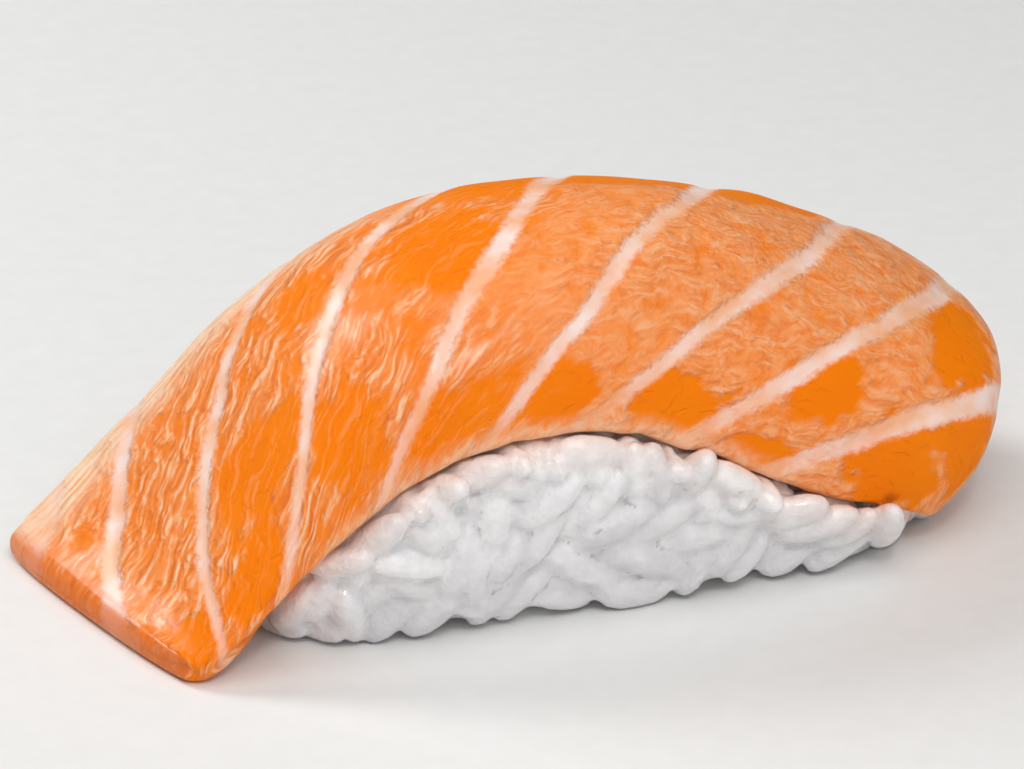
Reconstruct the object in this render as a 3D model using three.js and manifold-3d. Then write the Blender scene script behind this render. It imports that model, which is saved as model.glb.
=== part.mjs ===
// Salmon nigiri: a hand-pressed pad of sushi rice under a draped slice of raw salmon.
//
// Millimetres, +Z up. The origin is the centre of the pad's flat base on the table. +X runs
// along the pad, to the end where the slice rolls over and tucks under. -X is the end where
// the slice hangs down to the table. -Y is the long side that faces the viewer.

import * as THREE from 'three';
import { mergeVertices } from 'three/addons/utils/BufferGeometryUtils.js';
import Module from 'manifold-3d';

const wasm = await Module();
wasm.setup();
const { lerp, mapLinear } = THREE.MathUtils;

// Driving dimensions of the slice. Three guide lines run along it, from its table end (first)
// to its tucked end (last): the ridge over the middle, and the two long edges.
const RIDGE_LINE = [
  [-41, -1, 2.2], [-36.7, -1, 4.2], [-29, -1, 15.8], [-18, 0, 28.9], [1.5, 0, 30.9],
  [17, 0, 26.4], [29.7, 0, 20.4], [37.8, 0, 14.5], [36.8, 0, 7.7], [30.5, 0, 6],
];
const FRONT_LINE = [
  [-36.2, -14.3, 2.4], [-35.5, -16.2, 0.7], [-26.8, -15.8, 8.3], [-17.5, -15.5, 15.7], [-4.5, -15.5, 17.6],
  [5.4, -15.5, 13.2], [15, -15.5, 7.9], [22.6, -14.5, 5.1], [28, -12.5, 1.9], [27.6, -9, 1.9],
];
const BACK_LINE = [
  [-43.2, 11.4, 1.9], [-41.6, 13, 2.6], [-30.5, 14.8, 9.2], [-19.5, 15.5, 14.5], [-4.5, 15.5, 16],
  [7.5, 15.5, 13.5], [16.5, 15.5, 9.5], [23.5, 14.5, 6.5], [28.5, 12, 4.2], [29.5, 8, 3.4],
];
const ARCH_ROUNDNESS = 2.3;       // 2 is a round arch across the slice, more is squarer
const SLICE_MIDDLE = 5.2;         // thickness along the middle
const SLICE_LIP = 1.8;            // thickness at the long edges
const SLICE_FULLNESS = 2.5;       // 2 thins steadily from the middle to the lips, more is fuller
const TABLE_END = 2.3;            // thickness of the cut end on the table
const TUCKED_END = 2.4;           // thickness of the end that tucks under
const END_CORNER = 0.6;           // share of an end's thickness that is left at its corners
const END_TAPER = 10;             // distance over which an end reaches the full thickness
const CUT_UPRIGHT = 7;            // distance over which the cut end turns to stand upright
const EDGE_ROUNDING = 0.42;       // radius of every edge, as a part of the thickness there
const FLAKE_PITCH = 14.2;         // spacing of the fat lines along the ridge
const FLAKE_SLANT = 0.95;         // how far a fat line moves along for each step across
const FLAKE_START = 4.8;          // the first fat line, from the table end
const FLAKE_DEPTH = 0.25;         // depth of the shallow groove at each fat line
const SLICE_STEPS = [46, 22];     // facets of the slice, along and across

// Driving dimensions of the rice pad and its grains.
const PAD_LENGTH = 55.5;
const PAD_WIDTH = 28;
const PAD_SQUARENESS = 4;           // 2 is an oval plan, more is squarer
const PAD_PROFILE = [             // half outline: share of the half length or width, height
  [0, 0], [0.95, 0], [0.985, 2], [1, 6], [1, 13], [0.95, 20], [0.82, 26], [0, 28],
];
const PAD_SHOWN_HEIGHT = 18;      // the slice hides the pad above this
const PAD_FACETS = 32;            // facets round the pad
const SLICE_GAP = 0.3;            // clearance between the rice and the slice
const SLICE_SPACE = 1.5;          // how far the space kept free for the slice reaches above it
const SLICE_SPACE_STEPS = [24, 12]; // facets of that space, along and across
const TABLE_SIZE = [200, 200, 20];
const GRAIN_LENGTH = [5.6, 7.4];  // shortest and longest grain
const GRAIN_SLENDERNESS = 2.15;   // length over thickness
const GRAIN_SIDES = 5;
const GRAIN_PROFILE = [           // half outline: share of the radius, share of the length
  [0, -0.5], [0.78, -0.33], [1, 0.02], [0.74, 0.36], [0, 0.5],
];
const GRAIN_TRIES = 4000;
const GRAIN_LIMIT = 230;
const GRAIN_SPACING = 0.4;        // nearest centres, as a part of the grain's length
const GRAIN_SUNK = 0.12;          // depth of a grain's axis under the core, in thicknesses
const GRAIN_LOWEST = 0.4;         // height of the lowest grains' axes, in thicknesses
const GRAIN_TILT = 0.45;          // how far a grain may point out of the side or into it
const GRAIN_CROWDING = 1.3;       // 1 spreads the grains evenly in height, more puts more low down
const GRAIN_LOWERINGS = 4;        // how often a grain that would cross the slice is lowered
const GRAIN_LOWERING = 0.7;       // by how much each time
const GRAIN_SEED = 20;

// A number in 0..1 that is always the same for one seed and one place in the row.
function seededRandom(seed) {
  let state = seed;
  return () => {
    state = (state * 1664525 + 1013904223) % 4294967296;
    return state / 4294967296;
  };
}

// A point on a uniform cubic B-spline that starts at its first guide point and ends at its last.
function splinePoint(points, share) {
  const start = new THREE.Vector3(...points[0]);
  const end = new THREE.Vector3(...points.at(-1));
  const guides = points.map((point) => new THREE.Vector3(...point));
  guides.unshift(start.multiplyScalar(2).sub(guides[1]));
  guides.push(end.multiplyScalar(2).sub(guides.at(-2)));
  const spans = guides.length - 3;
  const span = Math.min(Math.floor(share * spans), spans - 1);
  const f = share * spans - span;
  const weights = [
    (1 - f) ** 3 / 6,
    (3 * f ** 3 - 6 * f ** 2 + 4) / 6,
    (-3 * f ** 3 + 3 * f ** 2 + 3 * f + 1) / 6,
    f ** 3 / 6,
  ];
  const sum = new THREE.Vector3();
  weights.forEach((weight, i) => sum.addScaledVector(guides[span + i], weight));
  return sum;
}

// The slice's upper face: share runs 0..1 along it, side runs -1 (front edge) to 1 (back edge).
function slicePoint(share, side) {
  const ridge = splinePoint(RIDGE_LINE, share);
  const front = splinePoint(FRONT_LINE, share);
  const back = splinePoint(BACK_LINE, share);
  const turn = side * Math.PI / 2;
  const across = Math.sign(turn) * Math.abs(Math.sin(turn)) ** (2 / ARCH_ROUNDNESS);
  const rise = Math.max(Math.cos(turn), 0) ** (2 / ARCH_ROUNDNESS);
  const chord = front.clone().lerp(back, (1 + across) / 2);
  const crown = ridge.sub(front.add(back).multiplyScalar(0.5));
  return chord.addScaledVector(crown, rise);
}

// Rows and columns of the slice's face, closer together near its edges.
function sliceGrid([steps, stepsAcross]) {
  const rows = [];
  for (let i = 0; i <= steps; i++) {
    const t = i / steps;
    const share = 0.4 * t + 0.3 * (1 - Math.cos(Math.PI * t));
    const row = [];
    for (let j = 0; j <= stepsAcross; j++) {
      const side = Math.sin((j / stepsAcross * 2 - 1) * Math.PI / 2);
      row.push({ share, side, point: slicePoint(share, side) });
    }
    rows.push(row);
  }
  measureGrid(rows);
  return rows;
}

// Adds to each point of the grid its outward direction and its distances from the edges.
function measureGrid(rows) {
  const last = rows.length - 1;
  const lastSide = rows[0].length - 1;
  let along = 0;
  rows.forEach((row, i) => {
    const middle = lastSide / 2;
    if (i > 0) along += row[middle].point.distanceTo(rows[i - 1][middle].point);
    let across = 0;
    row.forEach((cell, j) => {
      if (j > 0) across += cell.point.distanceTo(row[j - 1].point);
      cell.along = along;
      cell.across = across;
      const before = rows[Math.max(i - 1, 0)][j].point;
      const after = rows[Math.min(i + 1, last)][j].point;
      const left = row[Math.max(j - 1, 0)].point;
      const right = row[Math.min(j + 1, lastSide)].point;
      cell.outward = after.clone().sub(before).cross(right.clone().sub(left)).normalize();
    });
    const ridge = row[middle].across;
    row.forEach((cell) => {
      cell.fromLongEdge = Math.min(cell.across, across - cell.across);
      cell.fromRidge = cell.across - ridge;
    });
  });
  for (const cell of rows.flat()) {
    cell.fromTableEnd = cell.along;
    cell.fromTuckedEnd = along - cell.along;
  }
}

// Thickness of the slice at a point of its face, and the direction from the upper face to the
// underside. The cut end on the table stands upright, and elsewhere the slice is cut square.
function throughSlice(cell) {
  const taper = (distance) => 1 - Math.exp(-distance / END_TAPER);
  const middle = 1 - Math.abs(cell.side) ** SLICE_FULLNESS;
  const atEnd = END_CORNER + (1 - END_CORNER) * middle;
  let thickness = SLICE_LIP + (SLICE_MIDDLE - SLICE_LIP) * middle;
  thickness = lerp(TABLE_END * atEnd, thickness, taper(cell.fromTableEnd));
  thickness = lerp(TUCKED_END * atEnd, thickness, taper(cell.fromTuckedEnd));
  const upright = Math.exp(-cell.fromTableEnd / CUT_UPRIGHT);
  const inward = cell.outward.clone().negate().lerp(new THREE.Vector3(0, 0, -1), upright).normalize();
  return { thickness, inward };
}

// Share of the edge rounding that is left at a distance from an edge: 1 at the edge, 0 inside it.
function roundedEdge(cell, radius) {
  const quarter = (distance) => Math.sqrt(1 - (1 - Math.min(distance / radius, 1)) ** 2);
  const ends = Math.min(cell.fromTableEnd, cell.fromTuckedEnd);
  return 1 - quarter(cell.fromLongEdge) * quarter(ends);
}

// Depth of the grooves that the fat lines make in the upper face.
function flakeGroove(cell) {
  const phase = (cell.along - FLAKE_START - FLAKE_SLANT * cell.fromRidge) / FLAKE_PITCH;
  return FLAKE_DEPTH * (0.5 + 0.5 * Math.cos(2 * Math.PI * phase)) ** 4;
}

// Joins an upper and a lower grid of points, with the same rows, into one closed surface.
function closedSheet(upper, lower) {
  const rows = upper.length;
  const columns = upper[0].length;
  const points = [...upper.flat(), ...lower.flat()];
  const top = (i, j) => i * columns + j;
  const bottom = (i, j) => rows * columns + i * columns + j;
  const index = [];
  const quad = (a, b, c, d) => index.push(a, b, c, a, c, d);
  for (let i = 0; i < rows - 1; i++) {
    for (let j = 0; j < columns - 1; j++) {
      quad(top(i, j), top(i + 1, j), top(i + 1, j + 1), top(i, j + 1));
      quad(bottom(i, j), bottom(i, j + 1), bottom(i + 1, j + 1), bottom(i + 1, j));
    }
    quad(top(i, 0), bottom(i, 0), bottom(i + 1, 0), top(i + 1, 0));
    const far = columns - 1;
    quad(top(i, far), top(i + 1, far), bottom(i + 1, far), bottom(i, far));
  }
  for (let j = 0; j < columns - 1; j++) {
    quad(top(0, j), top(0, j + 1), bottom(0, j + 1), bottom(0, j));
    quad(top(rows - 1, j), bottom(rows - 1, j), bottom(rows - 1, j + 1), top(rows - 1, j + 1));
  }
  const geometry = new THREE.BufferGeometry().setFromPoints(points);
  geometry.setIndex(index);
  return geometry;
}

// The slice itself: rounded at every edge, with shallow grooves on its upper face.
function sliceGeometry() {
  const upper = [];
  const lower = [];
  for (const row of sliceGrid(SLICE_STEPS)) {
    const upperRow = [];
    const lowerRow = [];
    for (const cell of row) {
      const { thickness, inward } = throughSlice(cell);
      const radius = EDGE_ROUNDING * thickness;
      const rounding = radius * roundedEdge(cell, radius);
      const groove = flakeGroove(cell) * (1 - roundedEdge(cell, 2 * thickness));
      upperRow.push(cell.point.clone().addScaledVector(inward, rounding + groove));
      lowerRow.push(cell.point.clone().addScaledVector(inward, thickness - rounding));
    }
    upper.push(upperRow);
    lower.push(lowerRow);
  }
  return closedSheet(upper, lower);
}

// The space that the slice takes out of the rice: the slice and a gap below it, up to well
// above its upper face, and a little past its edges.
function clearanceGeometry(rows) {
  const upper = rows.map((row) => row.map(
    (cell) => cell.point.clone().addScaledVector(cell.outward, SLICE_SPACE),
  ));
  const lower = rows.map((row) => row.map((cell) => {
    const { thickness, inward } = throughSlice(cell);
    return cell.point.clone().addScaledVector(inward, thickness + SLICE_GAP);
  }));
  return closedSheet(upper, lower);
}

// The bare pad: a lathed loaf, stretched to an oblong plan with square corners.
function padGeometry() {
  const profile = PAD_PROFILE.map(([share, height]) => new THREE.Vector2(share, height));
  const geometry = new THREE.LatheGeometry(profile, PAD_FACETS);
  geometry.rotateX(Math.PI / 2);
  const position = geometry.attributes.position;
  for (let i = 0; i < position.count; i++) {
    const share = Math.hypot(position.getX(i), position.getY(i));
    const plan = padPlan(Math.atan2(position.getY(i), position.getX(i)));
    position.setX(i, share * plan.x);
    position.setY(i, share * plan.y);
  }
  return geometry;
}

// A point of the pad's plan outline, at an angle from +X.
function padPlan(angle) {
  const c = Math.cos(angle);
  const s = Math.sin(angle);
  const power = PAD_SQUARENESS;
  const reach = (Math.abs(c) ** power + Math.abs(s) ** power) ** (-1 / power);
  return new THREE.Vector2(c * reach * PAD_LENGTH / 2, s * reach * PAD_WIDTH / 2);
}

// A point on the pad's side and the direction out of it.
function padSide(angle, height) {
  let ring = 1;
  while (PAD_PROFILE[ring + 1][1] <= height) ring++;
  const [lowShare, lowHeight] = PAD_PROFILE[ring];
  const [highShare, highHeight] = PAD_PROFILE[ring + 1];
  const share = mapLinear(height, lowHeight, highHeight, lowShare, highShare);
  const plan = padPlan(angle);
  const step = padPlan(angle + 0.01).sub(padPlan(angle - 0.01)).normalize();
  const lean = (lowShare - highShare) * PAD_WIDTH / 2 / (highHeight - lowHeight);
  return {
    point: new THREE.Vector3(plan.x * share, plan.y * share, height),
    outward: new THREE.Vector3(step.y, -step.x, lean).normalize(),
  };
}

// One cooked grain: a plump spindle with few sides, lying along +X.
function grainGeometry(length) {
  const radius = length / GRAIN_SLENDERNESS / 2;
  const outline = GRAIN_PROFILE.map(
    ([across, along]) => new THREE.Vector2(across * radius, along * length),
  );
  const geometry = new THREE.LatheGeometry(outline, GRAIN_SIDES);
  geometry.rotateZ(-Math.PI / 2);
  return geometry;
}

// The grain as a solid with its axis turned to a direction and its middle at a place.
function grainSolid(length, axis, centre) {
  const turn = new THREE.Quaternion().setFromUnitVectors(new THREE.Vector3(1, 0, 0), axis);
  return toSolid(grainGeometry(length).applyQuaternion(turn).translate(centre.x, centre.y, centre.z));
}

// The grains that show: the largest first, evenly spread over the pad's open sides. Each one
// lies nearly flat on the side. One that would cross the slice is lowered, or else skipped.
function showingGrains(sliceSpace) {
  const random = seededRandom(GRAIN_SEED);
  const centres = [];
  const grains = [];
  const [shortest, longest] = GRAIN_LENGTH;
  for (let i = 0; i < GRAIN_TRIES && grains.length < GRAIN_LIMIT; i++) {
    const length = lerp(longest, shortest, i / GRAIN_TRIES);
    const thickness = length / GRAIN_SLENDERNESS;
    const angle = random() * 2 * Math.PI;
    const lowest = GRAIN_LOWEST * thickness;
    const height = lowest + random() ** GRAIN_CROWDING * PAD_SHOWN_HEIGHT;
    const turn = (random() - 0.5) * Math.PI;
    const tilt = (2 * random() - 1) * GRAIN_TILT;
    const { point, outward } = padSide(angle, height);
    const level = new THREE.Vector3(-outward.y, outward.x, 0).normalize();
    const axis = level.applyAxisAngle(outward, turn).addScaledVector(outward, tilt).normalize();
    const centre = point.addScaledVector(outward, -GRAIN_SUNK * thickness);
    for (let lowering = 0; lowering <= GRAIN_LOWERINGS && centre.z > lowest; lowering++) {
      const crowded = centres.some((other) => other.distanceTo(centre) < GRAIN_SPACING * length);
      if (crowded) break;
      const grain = grainSolid(length, axis, centre);
      if (grain.intersect(sliceSpace).isEmpty()) {
        centres.push(centre);
        grains.push(grain);
        break;
      }
      centre.z -= GRAIN_LOWERING;
    }
  }
  return grains;
}

// A closed three.js geometry as a solid that can be joined and cut.
function toSolid(geometry) {
  const bare = geometry.clone();
  bare.deleteAttribute('normal');
  bare.deleteAttribute('uv');
  const merged = mergeVertices(bare, 1e-4);
  const triangles = [];
  const index = merged.index.array;
  for (let i = 0; i < index.length; i += 3) {
    const [a, b, c] = index.slice(i, i + 3);
    if (a !== b && b !== c && c !== a) triangles.push(a, b, c);
  }
  return new wasm.Manifold(new wasm.Mesh({
    numProp: 3,
    vertProperties: new Float32Array(merged.attributes.position.array),
    triVerts: new Uint32Array(triangles),
  }));
}

// The largest body of a solid, as a three.js geometry.
function toGeometry(solid) {
  const bodies = solid.decompose();
  const largest = bodies.reduce((best, body) => (body.volume() > best.volume() ? body : best));
  const mesh = largest.getMesh();
  const geometry = new THREE.BufferGeometry();
  geometry.setAttribute('position', new THREE.Float32BufferAttribute(mesh.vertProperties, 3));
  geometry.setIndex(Array.from(mesh.triVerts));
  return geometry;
}

// The pad, cut clear of the slice, with its grains joined on and flat underneath.
function riceGeometry() {
  const sliceSpace = toSolid(clearanceGeometry(sliceGrid(SLICE_SPACE_STEPS)));
  let rice = toSolid(padGeometry()).subtract(sliceSpace);
  for (const grain of showingGrains(sliceSpace)) rice = rice.add(grain);
  const table = new THREE.BoxGeometry(...TABLE_SIZE).translate(0, 0, -TABLE_SIZE[2] / 2);
  return toGeometry(rice.subtract(toSolid(table)));
}

// A named piece of the nigiri with its own colour.
function piece(name, geometry, colour, roughness) {
  const material = new THREE.MeshStandardMaterial({ color: colour, roughness, metalness: 0 });
  const mesh = new THREE.Mesh(geometry, material);
  mesh.name = name;
  return mesh;
}

const nigiri = new THREE.Group();
nigiri.add(piece('salmon', sliceGeometry(), 0xf2893c, 0.35));
nigiri.add(piece('rice', riceGeometry(), 0xdddcdc, 0.5));

export default nigiri;
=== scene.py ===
# %% [markdown]
# # Salmon nigiri
# A nigiri is a hand-pressed pad of sushi rice with a slice of raw salmon draped over it. This
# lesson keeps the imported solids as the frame, which gives every place and size, and makes the
# looks over it: the soft slice with its fat lines, several hundred grains of cooked rice, and
# the wet shine of both. Lengths are written in millimetres and turned to metres at the end.

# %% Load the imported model
import math

import bpy
import numpy as np
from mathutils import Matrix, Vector


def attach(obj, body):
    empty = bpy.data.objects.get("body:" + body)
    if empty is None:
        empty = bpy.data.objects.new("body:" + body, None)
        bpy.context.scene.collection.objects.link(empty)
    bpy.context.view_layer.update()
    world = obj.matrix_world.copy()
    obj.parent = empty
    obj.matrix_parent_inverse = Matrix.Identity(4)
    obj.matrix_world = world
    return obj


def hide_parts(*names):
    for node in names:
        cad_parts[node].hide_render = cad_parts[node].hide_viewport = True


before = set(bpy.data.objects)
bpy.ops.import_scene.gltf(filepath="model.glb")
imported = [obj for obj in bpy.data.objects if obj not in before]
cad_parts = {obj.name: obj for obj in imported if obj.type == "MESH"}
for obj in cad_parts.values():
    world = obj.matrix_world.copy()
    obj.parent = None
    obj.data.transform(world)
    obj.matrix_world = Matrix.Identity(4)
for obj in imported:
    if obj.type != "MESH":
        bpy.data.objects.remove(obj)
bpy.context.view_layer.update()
MM = 0.001


# %% [markdown]
# The slice is a soft sheet, so it could be simulated as cloth over the pad. Here it is drawn
# instead, because its folds are few and known: a ridge line runs over the middle, and a long
# edge runs along each side. The three lines are smooth curves through guide points, and the
# slice arches from edge to edge over the ridge. A formula keeps the surface smooth at any
# fineness, and gives each point its distance along and across, which the finish follows.

# %% The guide lines of the slice, in mm
RIDGE_LINE = [
    (-41, -1, 2.2), (-36.7, -1, 4.2), (-29, -1, 15.8), (-18, 0, 28.9), (1.5, 0, 30.9),
    (17, 0, 26.4), (29.7, 0, 20.4), (37.8, 0, 14.5), (36.8, 0, 7.7), (30.5, 0, 6),
]
FRONT_LINE = [
    (-36.2, -14.3, 2.4), (-35.5, -16.2, 0.7), (-26.8, -15.8, 8.3), (-17.5, -15.5, 15.7),
    (-4.5, -15.5, 17.6), (5.4, -15.5, 13.2), (15, -15.5, 7.9), (22.6, -14.5, 5.1),
    (28, -12.5, 1.9), (27.6, -9, 1.9),
]
BACK_LINE = [
    (-43.2, 11.4, 1.9), (-41.6, 13, 2.6), (-30.5, 14.8, 9.2), (-19.5, 15.5, 14.5),
    (-4.5, 15.5, 16), (7.5, 15.5, 13.5), (16.5, 15.5, 9.5), (23.5, 14.5, 6.5),
    (28.5, 12, 4.2), (29.5, 8, 3.4),
]
ARCH_ROUNDNESS = 2.3      # power of the arch: 2 is an ellipse, more is squarer
SLICE_MIDDLE, SLICE_LIP, SLICE_FULLNESS = 5.2, 1.8, 2.5    # thickness in mm, and its power
TABLE_END, TUCKED_END, END_CORNER = 2.3, 2.4, 0.6          # thickness, and its share at corners
END_TAPER, CUT_UPRIGHT = 10.0, 7.0                         # mm over which an end's form fades
EDGE_ROUNDING = 0.42      # radius of an edge as a share of the thickness
LIP_WAVE = 0.45           # mm, the long edges are torn a little unevenly
SLICE_GAP = 0.1           # mm between the slice and a grain of rice


def spline(points, share):
    """A smooth line from the first guide point to the last: a uniform cubic B-spline, where each
    place is a weighted mean of four guide points next to it. share is 0 to 1 along the line."""
    guides = np.array(points, float)
    guides = np.vstack([2 * guides[0] - guides[1], guides, 2 * guides[-1] - guides[-2]])
    spans = len(guides) - 3
    span = np.minimum((share * spans).astype(int), spans - 1)
    f = (share * spans - span)[:, None]
    weights = [(1 - f) ** 3, 3 * f**3 - 6 * f**2 + 4, -3 * f**3 + 3 * f**2 + 3 * f + 1, f**3]
    return sum(weight / 6 * guides[span + i] for i, weight in enumerate(weights))


def unit(vectors):
    """Vectors divided by their length."""
    return vectors / (np.linalg.norm(vectors, axis=-1, keepdims=True) + 1e-12)


def mix(low, high, share):
    """A value between low (share 0) and high (share 1)."""
    return low + (high - low) * share


def lattice_noise(x, y, seed):
    """Smooth noise from -1 to 1 over a plane: random numbers at whole x and y, with a smooth
    step between the four that surround a point."""
    table = np.random.default_rng(seed).uniform(-1, 1, (64, 64))
    column, row = np.floor(x).astype(int), np.floor(y).astype(int)
    fx, fy = x - column, y - row
    fx, fy = fx * fx * (3 - 2 * fx), fy * fy * (3 - 2 * fy)
    corner = lambda i, j: table[(column + i) % 64, (row + j) % 64]
    low = mix(corner(0, 0), corner(1, 0), fx)
    return mix(low, mix(corner(0, 1), corner(1, 1), fx), fy)


# %% [markdown]
# The face of the slice is a grid of points. From the face, the thickness is measured inwards:
# full along the middle, thin at the lips, and rounded off at every edge. The cut end on the
# table stands upright, because a slice is cut at a slant.

# %% A measured grid over the face of the slice
def slice_grid(steps, steps_across):
    """The slice's upper face as a grid, with what the finish and the thickness need. Across it,
    a point is the mean of the two edges plus the ridge's height above them times the rise of a
    superellipse. Rows and columns lie closer together near the edges."""
    t = np.linspace(0, 1, steps + 1)
    share = 0.4 * t + 0.3 * (1 - np.cos(np.pi * t))
    side = np.sin(np.linspace(-1, 1, steps_across + 1) * np.pi / 2)
    ridge, front, back = (spline(line, share)[:, None] for line in (RIDGE_LINE, FRONT_LINE, BACK_LINE))
    turn = side * np.pi / 2
    across = np.sign(turn) * np.abs(np.sin(turn)) ** (2 / ARCH_ROUNDNESS)
    rise = np.cos(turn).clip(0) ** (2 / ARCH_ROUNDNESS)
    face = mix(front, back, ((1 + across) / 2)[None, :, None])
    face = face + (ridge - (front + back) / 2) * rise[None, :, None]

    to_edge = unit(np.gradient(face, axis=1)) * np.sign(side)[None, :, None]
    row, column = share[:, None] + 0 * side, np.sign(side) + 0 * share[:, None]
    # the long edges wander in waves of 4 mm, with smaller ones of 1.5 mm
    wave = lattice_noise(26 * row, 5.5 * column, seed=8)
    wave = wave + 0.5 * lattice_noise(70 * row, 7.5 * column, seed=9)
    wave = LIP_WAVE * wave * np.sin(np.pi * share)[:, None] * np.abs(side) ** 8
    face = face + to_edge * wave[..., None]

    outward = unit(np.cross(np.gradient(face, axis=0), np.gradient(face, axis=1)))
    middle = steps_across // 2
    step = np.linalg.norm(np.diff(face[:, middle], axis=0), axis=-1)
    along = np.concatenate([[0], np.cumsum(step)])[:, None] + 0 * side
    step = np.linalg.norm(np.diff(face, axis=1), axis=-1)
    arc = np.concatenate([np.zeros((steps + 1, 1)), np.cumsum(step, axis=1)], axis=1)
    long_edge = np.minimum(arc, arc[:, -1:] - arc)
    table_end, tucked_end = along, along[-1] - along

    fullness = 1 - np.abs(side) ** SLICE_FULLNESS
    at_end = END_CORNER + (1 - END_CORNER) * fullness
    thickness = mix(SLICE_LIP, SLICE_MIDDLE, fullness)
    thickness = mix(TABLE_END * at_end, thickness, 1 - np.exp(-table_end / END_TAPER))
    thickness = mix(TUCKED_END * at_end, thickness, 1 - np.exp(-tucked_end / END_TAPER))
    upright = np.exp(-table_end / CUT_UPRIGHT)[..., None]
    inward = unit(mix(-outward, np.array([0, 0, -1.0]), upright))
    return {
        "face": face, "inward": inward, "thickness": thickness,
        "along": along, "across": arc - arc[:, middle:middle + 1],
        "long_edge": long_edge, "table_end": table_end, "tucked_end": tucked_end,
    }


SLICE_STEPS, SLICE_STEPS_ACROSS = 320, 150
grid = slice_grid(SLICE_STEPS, SLICE_STEPS_ACROSS)
print("ridge length in mm", round(float(grid["along"].max()), 1))


# %% [markdown]
# Salmon muscle is built of flakes, with sheets of white fat and connective tissue between them.
# The knife cuts these sheets at a slant, so they show as pale lines that cross the slice. Each
# line is a curve over the opened-out slice: where it crosses the ridge, how it slants, how it
# bends and how wide it is.

# %% The fat lines
# from 8 mm behind the ridge their slants fade over 3 mm to one slant, so they don't meet
BACK_FROM, BACK_FADE, BACK_SLANT = 8.0, 3.0, 0.9
FAT_LINES = [  # crossing of the ridge in mm, slant, bend per mm, width in mm
    (-22.0, 1.0, 0.0, 1.6), (-8.0, 1.0, 0.0, 2.2), (3.2, 0.66, 0.021, 1.6), (16.1, 1.18, 0.037, 1.25),
    (34.2, 1.28, 0.01, 1.45), (49.5, 0.75, -0.012, 1.5), (63.1, 0.79, -0.006, 1.4),
    (76.6, 0.66, -0.013, 1.5), (88.9, 0.76, -0.005, 1.8), (102.0, 0.70, -0.008, 2.0),
]


def fat_lines(along, across):
    """Distance to the nearest fat line and that line's half width, both in mm. The distance is
    measured along the ridge from the line's curve, which is a parabola over the distance
    across, and divided by its stretch for the slant. Noise shifts it so that the lines wander."""
    wander = 0.5 * lattice_noise(along / 5, across / 5, seed=1)
    wander = wander + 0.22 * lattice_noise(along / 1.6, across / 1.6, seed=2)
    crossing, slant, bend, width = np.array(FAT_LINES).T[:, :, None, None]
    past = np.tanh((across - BACK_FROM).clip(0) / BACK_FADE)
    held = np.minimum(across, BACK_FROM) + BACK_FADE * past
    middle = crossing + slant * held + bend * held**2 + BACK_SLANT * (across - held)
    slope = mix(slant + 2 * bend * held, BACK_SLANT, past**2)
    away = np.abs((along + wander - middle) / np.hypot(1, slope))
    nearest = away.argmin(axis=0)[None]
    half = np.broadcast_to(width / 2, away.shape)
    return np.take_along_axis(away, nearest, 0)[0], np.take_along_axis(half, nearest, 0)[0]


# %% [markdown]
# The slice is one closed mesh: the upper face, the underside and a narrow rim between them.
# Its relief is in the mesh where it is wider than half a millimetre: a shallow dip at each fat
# line, and soft lumps where flakes of muscle lie over the rice.

# %% The mesh of the slice
LINE_DIP = 0.14       # depth of the dip at a fat line, in mm
FLAKE_LUMP = 0.16     # height of the soft lumps, in mm
RELIEF_FADE = 2.5     # mm over which the relief grows from an edge


def grid_faces(rows, columns, start, flip):
    """Four-cornered faces over a grid of points whose numbers run along the columns first."""
    first = start + np.arange(rows - 1)[:, None] * columns + np.arange(columns - 1)
    corners = [first, first + columns, first + columns + 1, first + 1]
    return np.stack(corners[::-1] if flip else corners, axis=-1).reshape(-1, 4)


def rim_faces(rows, columns):
    """Faces between the border of the upper grid and the border of the lower grid, in order."""
    border = np.concatenate([
        np.arange(columns), np.arange(1, rows) * columns + columns - 1,
        (rows - 1) * columns + np.arange(columns - 2, -1, -1), np.arange(rows - 2, 0, -1) * columns,
    ])
    after = np.roll(border, -1)
    under = rows * columns
    return np.stack([border, after, after + under, border + under], axis=-1)


def build_mesh(name, points_mm, faces):
    """A smooth-shaded object at the origin, from points in mm and lists of corners."""
    mesh = bpy.data.meshes.new(name)
    mesh.from_pydata((points_mm * MM).tolist(), [], faces)
    mesh.polygons.foreach_set("use_smooth", np.ones(len(mesh.polygons), bool))
    mesh.update()
    made = bpy.data.objects.new(name, mesh)
    bpy.context.collection.objects.link(made)
    return made


def add_vectors(made, name, values):
    """Stores one vector at each point of a mesh, for its material to read."""
    attribute = made.data.attributes.new(name, "FLOAT_VECTOR", "POINT")
    attribute.data.foreach_set("vector", np.ascontiguousarray(values, dtype=np.float32).ravel())


def slice_relief(part):
    """How far the upper face lies under the plain arch, in mm, and none at the edges."""
    away, half = fat_lines(part["along"], part["across"])
    dip = LINE_DIP * np.exp(-((away / half) ** 2))
    lumps = lattice_noise(part["along"] / 6, part["across"] / 7, seed=3)
    lumps = lumps + 0.6 * lattice_noise(part["along"] / 3.1 + 9, part["across"] / 3.4, seed=4)
    inside = np.minimum(part["long_edge"], np.minimum(part["table_end"], part["tucked_end"]))
    return (dip + FLAKE_LUMP * lumps) * (1 - np.exp(-inside / RELIEF_FADE))


def quarter_round(distance, radius):
    """Height of a quarter circle at a distance from its foot: 0 at the foot, 1 past the radius."""
    return np.sqrt(1 - (1 - np.minimum(distance / radius, 1)) ** 2)


# %% Put the slice together
radius = EDGE_ROUNDING * grid["thickness"]
ends = np.minimum(grid["table_end"], grid["tucked_end"])
rounding = radius * (1 - quarter_round(grid["long_edge"], radius) * quarter_round(ends, radius))
relief = slice_relief(grid)
upper = grid["face"] + grid["inward"] * (rounding + relief)[..., None]
lower = grid["face"] + grid["inward"] * (grid["thickness"] - rounding)[..., None]

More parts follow.
